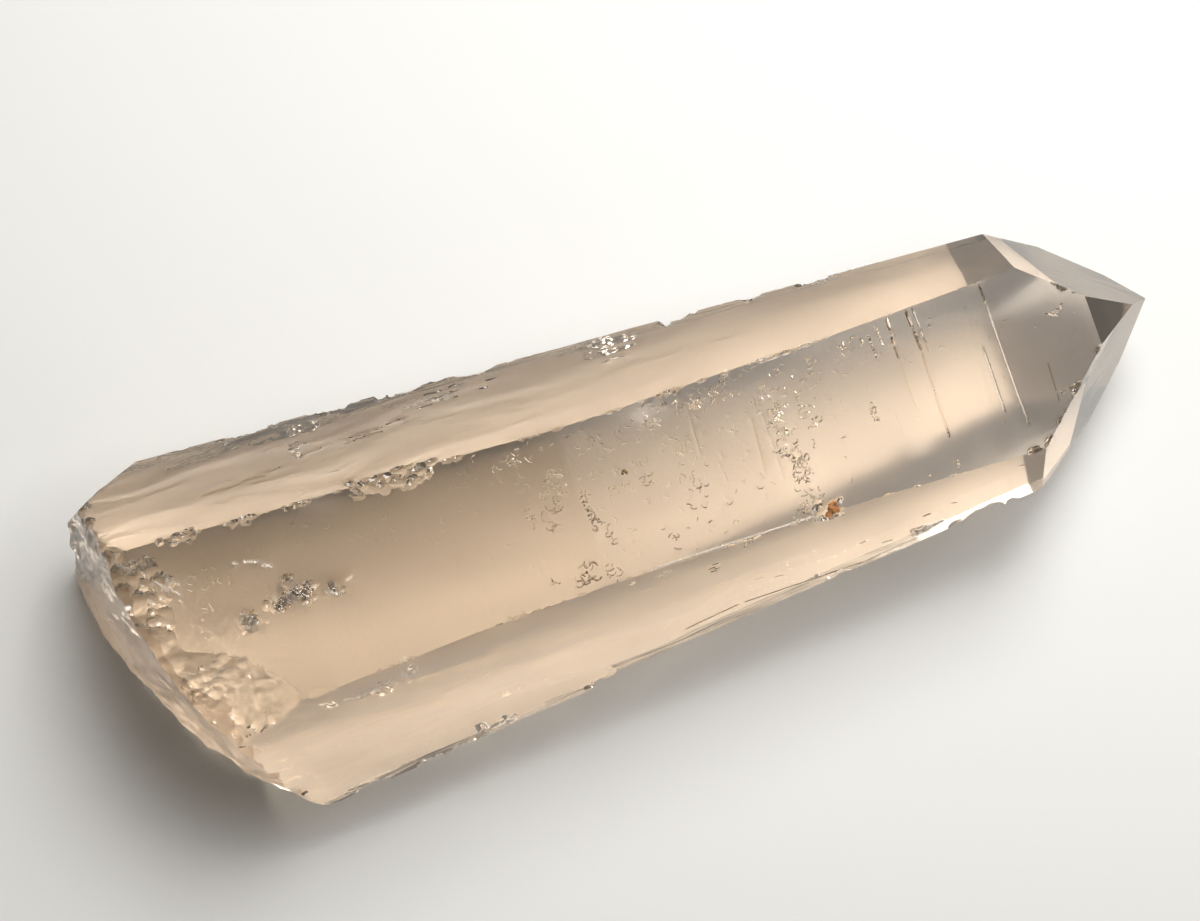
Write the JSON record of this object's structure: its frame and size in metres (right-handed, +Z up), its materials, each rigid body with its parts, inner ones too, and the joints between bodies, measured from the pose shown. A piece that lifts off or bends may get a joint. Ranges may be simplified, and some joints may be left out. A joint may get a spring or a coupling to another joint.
{
  "type": "quartz crystal",
  "caption": "Single crystal of pale smoky quartz: a tapering six-sided prism with a point at one end, broken off at the other, lying on a prism face.",
  "frame": {"origin": "centre of the footprint of the lying crystal, on the surface that it rests on", "axes": "+X along the long axis towards the point, +Z up, away from the prism face that it rests on"},
  "size_m": [0.1058, 0.0368, 0.0286],
  "materials": {
    "quartz": "clear, pale smoky brown, with satin prism faces"
  },
  "bodies": {
    "root": {"quartz_crystal": "quartz"}
  },
  "joints": []
}
